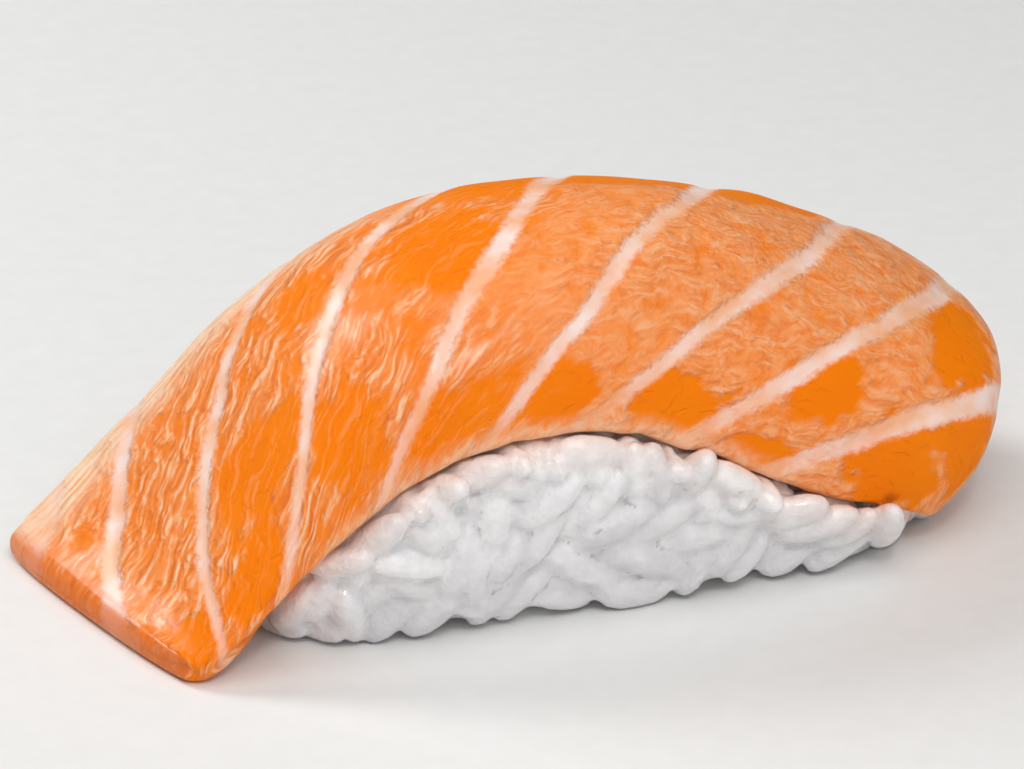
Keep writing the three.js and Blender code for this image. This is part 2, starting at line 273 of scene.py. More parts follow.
rows, columns = grid["along"].shape
points = np.concatenate([upper.reshape(-1, 3), lower.reshape(-1, 3)])
faces = np.concatenate([
    grid_faces(rows, columns, 0, flip=False),
    grid_faces(rows, columns, rows * columns, flip=True),
    rim_faces(rows, columns),
])
salmon = build_mesh("salmon_slice", points, faces.tolist())
print("slice", len(faces), "faces")


# %% [markdown]
# The flesh has zones: long fibres in its left half, crumbled flesh in its right half, and clear
# patches that the knife has left smooth. They could be painted by hand. Here each zone is a
# smooth function of the distances along and across, kept at the mesh's points for the finish.

# %% The zones of the flesh
def smooth_step(value, low, high):
    """0 below low, 1 above high, and a smooth step between."""
    share = ((value - low) / (high - low)).clip(0, 1)
    return share * share * (3 - 2 * share)


CLEAR_PATCHES = [  # along, across, half length and half width, all in mm
    (39.5, -3.5, 7.0, 5.0), (38.0, -19.0, 6.5, 3.0), (50.0, -20.5, 5.5, 2.6), (62.5, -21.8, 5.5, 2.8),
    (77.6, -18.2, 4.0, 3.6), (74.0, -25.0, 4.5, 1.8), (89.0, -21.5, 6.0, 4.0), (18.0, -7.5, 5.0, 4.0),
    (13.0, -12.5, 4.0, 3.0), (26.5, -14.0, 4.0, 4.5), (29.0, 1.5, 3.0, 3.0), (88.0, -8.5, 4.0, 5.0),
    (93.0, -15.0, 4.0, 4.5), (4.5, -13.0, 3.0, 3.0), (62.0, 5.6, 27.0, 3.8), (70.0, 16.0, 9.0, 5.0),
    (30.0, 20.0, 8.0, 4.0),
]


def clear_flesh(along, across):
    """1 in a clear patch and 0 outside: the nearest ellipse's closeness, with a noisy border."""
    at, over, length, width = np.array(CLEAR_PATCHES).T[:, :, None, None]
    close = (1 - np.hypot((along - at) / length, (across - over) / width)).max(axis=0)
    ragged = 0.35 * lattice_noise(along / 3, across / 2.2, seed=5)
    ragged = ragged + 0.25 * lattice_noise(along / 1.1, across / 0.8, seed=6)
    return smooth_step(close + ragged, -0.12, 0.12)


away, half = fat_lines(grid["along"], grid["across"])
clear = clear_flesh(grid["along"], grid["across"])
shift = 14 * lattice_noise(grid["along"] / 16, grid["across"] / 9, seed=7)
fibrous = (1 - smooth_step(grid["along"] + shift, 28, 50)) * (1 - 0.8 * clear)
crumbly = smooth_step(grid["along"] + shift, 34, 56) * (1 - clear)
zones = np.stack([clear, fibrous, crumbly], axis=-1).reshape(-1, 3)
add_vectors(salmon, "zones", np.concatenate([zones, zones]))
place = np.stack([grid["along"], grid["across"], 0 * away], axis=-1).reshape(-1, 3)
add_vectors(salmon, "place", np.concatenate([place, place + [0, 0, 1]]))
# a painted sheen, a pale band on the back slope of the slice's left half where light from
# behind glances off: how far a point lies past the middle of that band
sheen_band = grid["across"] - (15 - 0.0066 * (grid["along"] - 12) ** 2)
line = np.stack([away, half, sheen_band], axis=-1).reshape(-1, 3)
add_vectors(salmon, "line", np.concatenate([line, line]))
edges = np.stack([grid["long_edge"], grid["table_end"], grid["tucked_end"]], axis=-1).reshape(-1, 3)
add_vectors(salmon, "edges", np.concatenate([edges, edges]))
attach(salmon, "root")
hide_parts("salmon")
print("flesh in percent: clear, fibrous, crumbly", np.round(zones.mean(axis=0) * 100).tolist())


# %% [markdown]
# Cooked short-grain rice is plump, a little bent and blunt at both ends, and its grains stick
# together. They could be dropped on the pad by a rigid-body simulation. Here they are settled
# by a small rule, which is quick and always gives the same result: each grain is a short row of
# balls, and overlapping balls are pushed apart while each grain keeps its length. A ball is
# also held near the pad's surface, over the table and clear of the slice.

# %% The pad's form
PAD_LENGTH, PAD_WIDTH, PAD_SQUARENESS = 55.5, 28.0, 4.0
PAD_PROFILE = [(0.95, 0), (0.985, 2), (1, 5), (1.02, 10), (1.04, 15), (1.03, 19), (0.85, 26), (0.4, 28)]


def pad_depth(points):
    """How far points lie outside the pad's side, in mm, and the way out. The plan is a
    superellipse that the profile narrows with height, and the distance is its excess divided
    by its slope."""
    share, height = np.array(PAD_PROFILE).T
    narrow = np.interp(points[..., 2], height, share)
    half = np.array([PAD_LENGTH, PAD_WIDTH]) / 2 * narrow[..., None]
    across = points[..., :2] / half
    reach = (np.abs(across) ** PAD_SQUARENESS).sum(axis=-1) ** (1 / PAD_SQUARENESS) + 1e-9
    slope = np.sign(across) * np.abs(across) ** (PAD_SQUARENESS - 1)
    slope = slope * reach[..., None] ** (1 - PAD_SQUARENESS) / half
    steepness = np.linalg.norm(slope, axis=-1) + 1e-9
    way_out = np.concatenate([slope / steepness[..., None], 0 * reach[..., None]], axis=-1)
    return (reach - 1) / steepness, way_out


def pad_outline(angle):
    """Points of the pad's plan at these angles: the way out, divided by its superellipse's size
    there, times half the pad's length and width."""
    plan = np.stack([np.cos(angle), np.sin(angle)], axis=-1)
    plan = plan / (np.abs(plan) ** PAD_SQUARENESS).sum(-1, keepdims=True) ** (1 / PAD_SQUARENESS)
    return plan * np.array([PAD_LENGTH, PAD_WIDTH]) / 2


def squared_distance(points, cloud):
    """Squared distance from every point to every point of a cloud, as a table of both."""
    table = (points**2).sum(-1)[:, None] + (cloud**2).sum(-1) - 2 * points @ cloud.T
    return table.clip(0)


def nearest(points, cloud):
    """Number of the nearest point of a cloud, and its distance. It works in blocks of a thousand
    points to keep the table small."""
    found, away = [], []
    for block in np.array_split(points, len(points) // 1000 + 1):
        table = squared_distance(block, cloud)
        found.append(table.argmin(axis=1))
        away.append(np.sqrt(table.min(axis=1)))
    return np.concatenate(found), np.concatenate(away)


# %% The space that the slice takes up
def slice_shell(steps, steps_across):
    """Points midway through the slice's thickness, each with its half thickness, its way in and
    whether it lies away from the edges. The outermost points lie half a thickness from an edge,
    so that a ball of that size round each point just fills the slice."""
    part = slice_grid(steps, steps_across)
    half = part["thickness"] / 2
    from_edge = np.minimum(part["long_edge"], np.minimum(part["table_end"], part["tucked_end"]))
    kept = from_edge > 0.7 * half
    middle = part["face"] + part["inward"] * half[..., None]
    return middle[kept], half[kept], part["inward"][kept], (from_edge > 1.7 * half)[kept]


def out_of_slice(points, radius, shell, gap):
    """Moves points until balls of their radius clear the slice: straight away from the nearest
    edge, or inwards under its middle. Gives how far they lay from the slice's face too."""
    middle, half, inward, inner = shell
    near, far = nearest(points, middle)
    away = (points - middle[near]) / (far[:, None] + 1e-9)
    under = inner[near]
    away = np.where(under[:, None], inward[near], away)
    side = np.where(under, ((points - middle[near]) * inward[near]).sum(-1), far)
    reach = radius + half[near] + gap
    return points + away * ((reach - side).clip(0) * (far < reach + 1.5))[:, None], far - half[near]


coarse_shell = slice_shell(70, 44)
print("the slice's space is", len(coarse_shell[0]), "balls")

# %% Start places of the grains
GRAINS_ON_SIDES, GRAINS_ON_BASE, GRAINS_PER_LIP = 330, 80, 18
GRAIN_LENGTH = (5.4, 7.2)               # mm
GRAIN_SLENDERNESS = 2.15                # length over thickness
GRAINS_RISE = 17.0                      # mm, the highest grains of the sides over the lowest
GOLDEN = (math.sqrt(5) - 1) / 2         # spreads the grains evenly round the pad

draw = np.random.default_rng(11)
count = GRAINS_ON_SIDES + GRAINS_ON_BASE + 2 * GRAINS_PER_LIP
kind = np.repeat([0, 1, 2], [GRAINS_ON_SIDES, GRAINS_ON_BASE, 2 * GRAINS_PER_LIP])
length = draw.uniform(*GRAIN_LENGTH, count)
radius = length / GRAIN_SLENDERNESS / 2
sunk = draw.uniform(-0.5, 1.1, count)   # how deep a grain of the sides lies, in mm

# on the sides and the base: round the pad, and up it or inwards
angle = (np.arange(count) * GOLDEN % 1 + draw.uniform(0, 0.02, count)) * 2 * np.pi
plan = pad_outline(angle)
plan = plan * np.where(kind == 1, np.sqrt(draw.uniform(0, 0.85, count)), 1.0)[:, None]
height = np.where(kind == 1, radius, 1.0 + np.arange(count) / GRAINS_ON_SIDES * GRAINS_RISE)
centre = np.concatenate([plan, height[:, None]], axis=-1)

# under the lips: along both long edges of the slice, where they are off the table
LIP_FROM, LIP_TO = -24.0, 21.5          # mm, where these grains begin and end along X
for line, first, outward in ((FRONT_LINE, -2, -1), (BACK_LINE, -1, 1)):
    lip = spline(line, np.linspace(0, 1, 400))
    along_x = np.linspace(LIP_FROM, LIP_TO, GRAINS_PER_LIP) + draw.uniform(-0.8, 0.8, GRAINS_PER_LIP)
    rising = lip[:, 0].argmax()
    lip_z = np.interp(along_x, lip[:rising, 0], lip[:rising, 2])
    start = GRAINS_ON_SIDES + GRAINS_ON_BASE + (first + 2) * GRAINS_PER_LIP
    centre[start:start + GRAINS_PER_LIP] = np.stack(
        [along_x, outward * (draw.uniform(13.8, 14.5, GRAINS_PER_LIP) + 0.6 * (along_x > 2)),
         (lip_z - draw.uniform(1.0, 2.4, GRAINS_PER_LIP)).clip(1.4)], axis=-1)
anchor = centre.copy()

_, out = pad_depth(centre)
level = np.stack([-out[:, 1], out[:, 0], 0 * angle], axis=-1)
swing = draw.uniform(-np.pi / 2, np.pi / 2, count)[:, None] * np.where(kind == 2, 0.6, 1)[:, None]
axis = level * np.cos(swing) + np.array([0, 0, 1.0]) * np.sin(swing)
axis = axis + out * draw.uniform(-0.7, 0.7, (count, 1))
tilt = 0.3 * draw.uniform(-1, 1, (count, 1))
flat_axis = np.concatenate([np.cos(2 * swing), np.sin(2 * swing), tilt], axis=-1)
axis = unit(np.where(kind[:, None] == 1, flat_axis, axis))

# %% Settle the grains
BALLS = np.array([-0.36, -0.12, 0.12, 0.36])    # places along a grain, as shares of its length
BALL_SIZE = np.array([0.84, 1.0, 1.0, 0.84])    # as shares of its radius
GRAIN_SQUEEZE = 0.70      # cooked grains press into each other, down to this share of their size
LIP_BULGE, LIP_BULGE_FADE = 0.9, 3.0    # the rice swells out towards the lip, in mm
SETTLE_STEPS, STEPS_PER_SEARCH = 80, 8
NEIGHBOUR_REACH = 9.5     # mm, grains further apart can't touch
PUSH, HOLD_SIDES, HOLD_BASE, HOLD_LIP = 0.3, 0.35, 0.5, 0.3    # shares of a fault mended in a step

ball_radius = (radius[:, None] * BALL_SIZE).ravel()
ball_kind = np.repeat(kind, len(BALLS))
pair_of_balls = np.indices((len(BALLS), len(BALLS))).reshape(2, 1, -1)
away_from_slice = np.full(len(ball_radius), 99.0)
for step in range(SETTLE_STEPS):
    balls = centre[:, None] + axis[:, None] * (BALLS[:, None] * length[:, None, None])
    balls = balls.reshape(-1, 3)
    if step % STEPS_PER_SEARCH == 0:
        apart = np.linalg.norm(centre[:, None] - centre[None], axis=-1)
        close = np.array(np.nonzero(np.triu(apart < NEIGHBOUR_REACH, 1)))
        left, right = (close[..., None] * len(BALLS) + pair_of_balls).reshape(2, -1)
    # push overlapping balls of two grains apart
    gap = balls[left] - balls[right]
    distance = np.linalg.norm(gap, axis=-1) + 1e-9
    overlap = (ball_radius[left] + ball_radius[right]) * GRAIN_SQUEEZE - distance
    gap *= (overlap.clip(0) * PUSH / distance)[:, None]
    push = np.stack([np.bincount(left, part, len(balls)) - np.bincount(right, part, len(balls))
                     for part in gap.T], axis=-1)
    # hold the grains of the sides near the pad's surface, and those of the lips at their place
    depth, way_out = pad_depth(balls)
    bulge = LIP_BULGE * np.exp(-(away_from_slice - 1.5).clip(0) / LIP_BULGE_FADE)
    hold = np.where(ball_kind == 1, (depth + 1.5).clip(0) * HOLD_BASE,
                    (depth - bulge + np.repeat(sunk, len(BALLS))) * HOLD_SIDES)
    push -= way_out * np.where(ball_kind == 2, 0, hold)[:, None]
    push += np.repeat((anchor - centre) * (kind == 2)[:, None] * HOLD_LIP, len(BALLS), axis=0)
    # keep clear of the slice and over the table
    balls, away_from_slice = out_of_slice(balls + push, ball_radius, coarse_shell, SLICE_GAP)
    lowest = np.where(ball_kind == 1, mix(balls[:, 2], ball_radius, 0.5), ball_radius * 0.95)
    balls[:, 2] = np.where(ball_kind == 1, lowest, np.maximum(balls[:, 2], lowest))
    balls = balls.reshape(count, len(BALLS), 3)
    centre = balls.mean(axis=1)
    axis = unit((balls * BALLS[:, None]).sum(axis=1))
balls = balls.reshape(-1, 3)
print("settled", count, "grains")


# %% [markdown]
# One grain is a grid of rings along its axis, closed at both tips. It is one small shape of a
# few dozen faces that is worked out for all grains at once, each with its own length,
# thickness, bend and roll.

# %% The mesh of the grains
RING_AT = np.array([-0.97, -0.78, -0.4, 0.05, 0.5, 0.83, 0.98])    # from tip to tip
GRAIN_SIDES = 9
GRAIN_BLUNTNESS, GRAIN_TAPER, GRAIN_FLATNESS = 2.6, 0.10, 0.84
GRAIN_BEND = 0.2          # mm at most


def grain_points(centre, axis, length, thickness, bend, roll):
    """Rings of points round each grain's axis. Their radius follows a blunt oval that is a little
    narrower at one tip, and the axis bows sideways by a parabola."""
    helper = np.where(np.abs(axis[:, 2:]) > 0.8, np.array([1.0, 0, 0]), np.array([0, 0, 1.0]))
    first = unit(np.cross(axis, helper))
    second = np.cross(axis, first)
    first, second = (
        first * np.cos(roll)[:, None] + second * np.sin(roll)[:, None],
        second * np.cos(roll)[:, None] - first * np.sin(roll)[:, None],
    )
    girth = (1 - np.abs(RING_AT) ** GRAIN_BLUNTNESS) ** 0.5 * (1 - GRAIN_TAPER * RING_AT)
    around = np.arange(GRAIN_SIDES) / GRAIN_SIDES * 2 * np.pi
    ring = girth[:, None, None] * (
        np.cos(around)[None, :, None] * first[:, None, None]
        + GRAIN_FLATNESS * np.sin(around)[None, :, None] * second[:, None, None]
    )
    spine = centre[:, None] + axis[:, None] * (RING_AT[:, None] * length[:, None, None] / 2)
    bow = bend[:, None] * (1 - RING_AT**2 * 1.5)
    spine = spine + first[:, None] * bow[..., None]
    return spine[:, :, None] + ring * (thickness / 2)[:, None, None, None]


def ring_faces(rings, sides):
    """Four-cornered faces between rings of points, each ring closed round its sides."""
    first = np.arange(rings - 1)[:, None] * sides + np.arange(sides)
    after = np.arange(rings - 1)[:, None] * sides + (np.arange(sides) + 1) % sides
    return np.stack([first, first + sides, after + sides, after], axis=-1).reshape(-1, 4)


def grain_faces(grains):
    """Faces between the rings of every grain, and one many-sided cap at each tip."""
    rings = len(RING_AT)
    start = np.arange(grains) * rings * GRAIN_SIDES
    caps = np.stack([np.arange(GRAIN_SIDES), (rings - 1) * GRAIN_SIDES + np.arange(GRAIN_SIDES)[::-1]])
    quads = (ring_faces(rings, GRAIN_SIDES)[None] + start[:, None, None]).reshape(-1, 4)
    caps = (caps[None] + start[:, None, None]).reshape(-1, GRAIN_SIDES)
    return quads.tolist() + caps.tolist()


drawn_length = length * draw.uniform(0.98, 1.04, count)
thickness = 2 * radius * draw.uniform(0.98, 1.08, count)
bend = draw.uniform(0, GRAIN_BEND, count)
roll = draw.uniform(0, 2 * np.pi, count)
grains = grain_points(centre, axis, drawn_length, thickness, bend, roll).reshape(-1, 3)
print("grains", count, "with", len(RING_AT) * GRAIN_SIDES, "points each")


# %% [markdown]
# The grains of a pressed pad are glued by their own starch, which fills the creases between
# them and hides most gaps. It could be left out, but then the grains would look loose and dry.
# Here the pad's core is drawn out to just under the grains: every ball of a grain adds to a
# field that fades with distance, and the core's surface lies where the sum has a set value,
# which is a little under a grain and a little over a crease.

# %% The sticky core of the pad
CORE_START, CORE_END, CORE_STRIDE = -1.5, 1.7, 0.4    # mm outwards from the pad's side
CORE_LOW, CORE_HIGH = 1.2, 20.0       # mm over the table
CORE_STEPS, CORE_ROUND = 60, 280
STARCH_FADE = 3.2
STARCH_LEVEL, STARCH_AT_SLICE = 2.1, 1.0    # the set value: one ball alone gives 1


def starch(points, balls, ball_radius):
    """Sum over all balls of the exponential of minus the squared distance over the squared
    radius, times the fade, scaled so that one ball alone gives 1 at its own surface."""
    total = []
    for block in np.array_split(points, len(points) // 1000 + 1):
        power = STARCH_FADE * (1 - squared_distance(block, balls) / ball_radius**2)
        total.append(np.exp(power).sum(axis=-1))
    return np.concatenate(total)


def core_points(balls, ball_radius):
    """A grid round the pad and up it. From each place, the core's surface is looked for along the
    way out in small steps, and the last crossing of the set value is kept. Next to the slice the
    value is lower, so there is more starch."""
    share, height = np.array(PAD_PROFILE).T
    level = np.linspace(CORE_LOW, CORE_HIGH, CORE_STEPS)
    around = np.linspace(0, 2 * np.pi, CORE_ROUND, endpoint=False)
    points = pad_outline(around)[None] * np.interp(level, height, share)[:, None, None]
    raised = np.broadcast_to(level[:, None, None], points.shape[:2] + (1,))
    points = np.concatenate([points, raised], axis=-1).reshape(-1, 3)
    _, way_out = pad_depth(points)
    _, to_slice = out_of_slice(points, 0.0, coarse_shell, SLICE_GAP)
    limit = mix(STARCH_LEVEL, STARCH_AT_SLICE, np.exp(-(to_slice - 1).clip(0) / 2))
    found = np.full(len(points), CORE_START)
    before = starch(points + way_out * CORE_START, balls, ball_radius)
    for reach in np.arange(CORE_START + CORE_STRIDE, CORE_END, CORE_STRIDE):
        now = starch(points + way_out * reach, balls, ball_radius)
        crossed = (before >= limit) & (now < limit)
        share = (before - limit) / (before - now + 1e-9)
        found = np.where(crossed, reach - CORE_STRIDE * (1 - share), found)
        before = now
    return points + way_out * found[:, None]


core = core_points(balls, ball_radius)
core, _ = out_of_slice(core, 0.0, coarse_shell, SLICE_GAP)
core_faces = ring_faces(CORE_STEPS, CORE_ROUND)[:, [0, 3, 2, 1]]    # its rings turn the other way
core_caps = np.stack([np.arange(CORE_ROUND)[::-1], np.arange(len(core) - CORE_ROUND, len(core))])
print("core", len(core_faces), "faces")


# %% [markdown]
# Grains and core are joined into one mesh and fused, because light must pass from grain to
# grain as it does in pressed rice: where closed shapes only overlap, their hidden walls stop it
# and draw a dark line round each grain. A voxel remesh does this. It makes one skin round
# everything, and a light smoothing takes its small steps away.

# %% Fuse the grains
FUSE_CELL = 0.315         # mm, a ninth of a grain's thickness
SKIN_GAP, TABLE_GAP = 0.06, 0.02    # mm that the skin keeps from the slice and the table
joined = np.concatenate([grains, core])
faces = grain_faces(count)
faces += (core_faces + len(grains)).tolist() + (core_caps + len(grains)).tolist()
loose = build_mesh("rice_loose", joined, faces)
fuse = loose.modifiers.new("fuse", "REMESH")
fuse.mode = "VOXEL"
fuse.voxel_size = FUSE_CELL * MM
fuse.use_smooth_shade = True
soften = loose.modifiers.new("soften", "SMOOTH")
soften.factor, soften.iterations = 0.5, 1
fused_object = loose.evaluated_get(bpy.context.evaluated_depsgraph_get())
fused = bpy.data.meshes.new_from_object(fused_object)
bpy.data.objects.remove(loose)
rice = bpy.data.objects.new("rice_grains", fused)
bpy.context.collection.objects.link(rice)

# %% Keep the skin clear of the slice and the table
skin = np.empty(len(fused.vertices) * 3, dtype=np.float32)
fused.vertices.foreach_get("co", skin)
skin = skin.reshape(-1, 3).astype(float) / MM
fine_shell = slice_shell(160, 60)
skin, to_slice = out_of_slice(skin, 0.0, fine_shell, SKIN_GAP)
skin[:, 2] = skin[:, 2].clip(TABLE_GAP)
fused.vertices.foreach_set("co", (skin * MM).astype(np.float32).ravel())
fused.update()

# each point keeps its grain's random number, and its distances from the slice and the grain
near, _ = nearest(skin, balls)
near //= len(BALLS)
lengthwise = ((skin - centre[near]) * axis[near]).sum(-1)
lengthwise = lengthwise.clip(BALLS[0] * length[near], BALLS[-1] * length[near])
from_axis = np.linalg.norm(skin - centre[near] - axis[near] * lengthwise[:, None], axis=-1)
# how far a point lies past its grain's surface; it sets the painted crease shade
crease_shade = from_axis - radius[near] * (1 - 1.3 * (lengthwise / length[near]) ** 2)
shade = draw.uniform(0, 1, count)[near]
add_vectors(rice, "grain", np.stack([shade, to_slice, crease_shade], axis=-1))
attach(rice, "root")
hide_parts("rice")
triangles = sum(len(polygon.vertices) - 2 for polygon in fused.polygons)
print("rice", len(fused.polygons), "faces,", triangles, "triangles")


# %% [markdown]
# The finishes are built of shader nodes. One function turns a colour as it is seen on a screen
# into the linear numbers that the renderer works with, and one adds a node with its settings
# and its inputs, each of them a number, a colour or another node's output.

# %% Helpers for finishes
def linear(screen_hex):
    """An sRGB colour such as "FB972A" as linear red, green, blue and full opacity."""
    share = np.array([int(screen_hex[i:i + 2], 16) for i in (0, 2, 4)]) / 255
    share = np.where(share <= 0.04045, share / 12.92, ((share + 0.055) / 1.055) ** 2.4)
    return (*share.tolist(), 1.0)


def add(tree, kind, inputs=(), out=0, **settings):
    """Adds one node and gives one of its outputs. inputs is a list in order, or a dict by name,
    of numbers, colours and outputs of other nodes; settings are the node's own."""
    made = tree.nodes.new("ShaderNode" + kind)
    for name, value in settings.items():
        setattr(made, name, value)
    for name, value in (inputs.items() if isinstance(inputs, dict) else enumerate(inputs)):
        if isinstance(value, bpy.types.NodeSocket):
            tree.links.new(value, made.inputs[name])
        else:
            made.inputs[name].default_value = value
    return made.outputs[out] if made.outputs else made


OF_COLOURS = {"data_type": "RGBA", "out": "Result"}     # for a Mix of two colours
SMOOTHLY = {"interpolation_type": "SMOOTHSTEP"}         # for a MapRange


def new_finish(name):
    """An empty material and its node tree."""
    material = bpy.data.materials.new(name)
    material.use_nodes = True
    material.node_tree.nodes.clear()
    return material, material.node_tree


# %% [markdown]
# Raw salmon is wet muscle, so light goes in and comes out again nearby, and a film of water and
# fat gives a clear gloss. Its patterns are placed by each point's distance along and across the
# slice, in mm. First come the distances that several of them share.

# %% Finish, raw salmon: places and zones
raw_salmon, tree = new_finish("raw_salmon_flesh")
place = add(tree, "Attribute", attribute_name="place", out="Vector")
line = add(tree, "Attribute", attribute_name="line", out="Vector")
edges = add(tree, "Attribute", attribute_name="edges", out="Vector")
place_x = add(tree, "SeparateXYZ", [place], out=0)
line_away = add(tree, "SeparateXYZ", [line], out=0)
line_half = add(tree, "SeparateXYZ", [line], out=1)
long_edge = add(tree, "SeparateXYZ", [edges], out=0)
table_end = add(tree, "SeparateXYZ", [edges], out=1)
zones = add(tree, "Attribute", attribute_name="zones", out="Vector")
clear_zone = add(tree, "SeparateXYZ", [zones], out=0)
fibre_zone = add(tree, "SeparateXYZ", [zones], out=1)
crumb_patch = add(tree, "SeparateXYZ", [zones], out=2)
# the patterns wander by about a millimetre over 3 mm
wander = add(tree, "TexNoise", {"Vector": place, "Scale": 0.33, "Detail": 0.6}, out="Color")
wander = add(tree, "VectorMath", [wander, (0.5, 0.5, 0.5)], operation="SUBTRACT")
# and they turn by about 15 degrees over 12 mm
drift = add(tree, "TexNoise", {"Vector": place, "Scale": 0.08, "Detail": 1.0}, out="Color")
drift = add(tree, "VectorMath", [drift, (0.5, 0.5, 0.5)], operation="SUBTRACT")

# %% Finish, raw salmon: fat lines
# the edge of a line is frayed by a quarter of a millimetre, over 0.7 mm
fray = add(tree, "TexNoise", {"Vector": place, "Scale": 1.5, "Detail": 3.0, "Roughness": 0.6})
fray = add(tree, "MapRange", {"Value": fray, "From Min": 0.3, "From Max": 0.7,
                              "To Min": -0.24, "To Max": 0.24})
away = add(tree, "Math", [line_away, fray], operation="ADD")
past_edge = add(tree, "Math", [away, line_half], operation="SUBTRACT")
fat = add(tree, "MapRange", {"Value": past_edge, "From Min": 0.5, "From Max": -0.35}, **SMOOTHLY)
# fat lies deeper in some places, where flesh tints it, and it fades towards the lip
tint_noise = add(tree, "TexNoise", {"Vector": place, "Scale": 0.19, "Detail": 3.0})
fat_depth = add(tree, "MapRange", {"Value": tint_noise, "From Min": 0.4, "From Max": 0.66})
lip_fade = add(tree, "MapRange", {"Value": long_edge, "From Min": 1.5, "From Max": 9.0,
                                  "To Min": 0.45, "To Max": 1.0})
fat = add(tree, "Math", [fat, lip_fade], operation="MULTIPLY")

# %% Finish, raw salmon: fibres
# a fibre is 1 mm wide and 4 mm long, and runs 20 degrees off the fat lines. The same pattern
# 0.3 mm further on is taken away from it, and one flank of each fibre gets a painted highlight
# and the other a painted shade, as if lit from one side.
with_fibres = add(tree, "Mapping", {"Vector": place, "Rotation": (0, 0, math.radians(62))})
fibre_place = add(tree, "VectorMath", [with_fibres, (0.95, 0.23, 1.0)], operation="MULTIPLY")
fibre_warp = add(tree, "VectorMath", {0: wander, "Scale": 2.2}, operation="SCALE")
fibre_place = add(tree, "VectorMath", [fibre_place, fibre_warp], operation="ADD")
fibre_warp = add(tree, "VectorMath", {0: drift, "Scale": 3.5}, operation="SCALE")
fibre_place = add(tree, "VectorMath", [fibre_place, fibre_warp], operation="ADD")
fibre = add(tree, "TexNoise", {"Vector": fibre_place, "Scale": 1.0, "Detail": 2.3, "Roughness": 0.58})
flank_place = add(tree, "VectorMath", [fibre_place, (0.28, 0.0, 0.0)], operation="ADD")
flank = add(tree, "TexNoise", {"Vector": flank_place, "Scale": 1.0, "Detail": 2.3, "Roughness": 0.58})
flank = add(tree, "Math", [fibre, flank], operation="SUBTRACT")
# fibres stand out in tufts 3 mm wide and lie flat between them
tuft = add(tree, "TexNoise", {"Vector": place, "Scale": 0.3, "Detail": 3.0, "Roughness": 0.6})
tuft = add(tree, "MapRange", {"Value": tuft, "From Min": 0.36, "From Max": 0.54, "To Min": 0.2})
fibre_zone = add(tree, "Math", [fibre_zone, tuft], operation="MULTIPLY")
# painted highlight and painted shade on the two flanks of each fibre
fibre_highlight = add(tree, "MapRange", {"Value": flank, "From Min": 0.01, "From Max": 0.13})
fibre_highlight = add(tree, "Math", [fibre_highlight, fibre_zone], operation="MULTIPLY")
fibre_shade = add(tree, "MapRange", {"Value": flank, "From Min": -0.01, "From Max": -0.13})
fibre_shade = add(tree, "Math", [fibre_shade, fibre_zone], operation="MULTIPLY")

# %% Finish, raw salmon: crumbled flesh
# its wrinkles are 1.2 mm apart and 3 mm long, and each gets a painted highlight on one flank
# and a painted shade on the other
ripple_warp = add(tree, "VectorMath", {0: wander, "Scale": 2.6}, operation="SCALE")
ripple_place = add(tree, "VectorMath", [place, (0.34, 0.8, 1.0)], operation="MULTIPLY")
ripple_place = add(tree, "VectorMath", [ripple_place, ripple_warp], operation="ADD")
ripple = add(tree, "TexNoise", {"Vector": ripple_place, "Scale": 1.0, "Detail": 2.6, "Roughness": 0.6})
slope_place = add(tree, "VectorMath", [ripple_place, (0.05, 0.25, 0.0)], operation="ADD")
slope = add(tree, "TexNoise", {"Vector": slope_place, "Scale": 1.0, "Detail": 2.6, "Roughness": 0.6})
slope = add(tree, "Math", [ripple, slope], operation="SUBTRACT")
# painted highlight on the light flank of each wrinkle
crest_highlight = add(tree, "MapRange", {"Value": slope, "From Min": 0.0, "From Max": 0.14})
crumb_zone = add(tree, "Math", [crumb_patch, tuft], operation="MULTIPLY")
crest_highlight = add(tree, "Math", [crest_highlight, crumb_zone], operation="MULTIPLY")
# long loops run between them: contours of a soft noise, 1.5 mm apart, drawn darker as painted
# shade in their creases
crumb_warp = add(tree, "VectorMath", {0: wander, "Scale": 0.34}, operation="SCALE")
crumb_place = add(tree, "VectorMath", [place, (0.085, 0.24, 1.0)], operation="MULTIPLY")
crumb_place = add(tree, "VectorMath", [crumb_place, crumb_warp], operation="ADD")
contour = add(tree, "TexNoise", {"Vector": crumb_place, "Scale": 1.0, "Detail": 2.0})
contour = add(tree, "Math", [contour, 40.0], operation="MULTIPLY")
contour = add(tree, "Math", [contour], operation="SINE")
contour = add(tree, "MapRange", {"Value": contour, "From Min": -0.5, "From Max": -1.0})
break_up = add(tree, "TexNoise", {"Vector": place, "Scale": 0.8, "Detail": 3.0, "Roughness": 0.65})
broken = add(tree, "MapRange", {"Value": break_up, "From Min": 0.46, "From Max": 0.58})
contour = add(tree, "Math", [contour, broken], operation="MULTIPLY")
# painted shade: the deep flanks and the loops darken the flesh
wrinkle_shade = add(tree, "MapRange", {"Value": slope, "From Min": -0.02, "From Max": -0.15})
wrinkle_shade = add(tree, "Math", [wrinkle_shade, contour], operation="MAXIMUM")
wrinkle_shade = add(tree, "Math", [wrinkle_shade, crumb_zone], operation="MULTIPLY")
crumb = add(tree, "TexNoise", {"Vector": place, "Scale": 0.55, "Detail": 4.0, "Roughness": 0.7})
crumb = add(tree, "MapRange", {"Value": crumb, "From Min": 0.4, "From Max": 0.58,
                               "To Min": 0.1, "To Max": 1.0})
crumb = add(tree, "Math", [crumb, crumb_patch], operation="MULTIPLY")
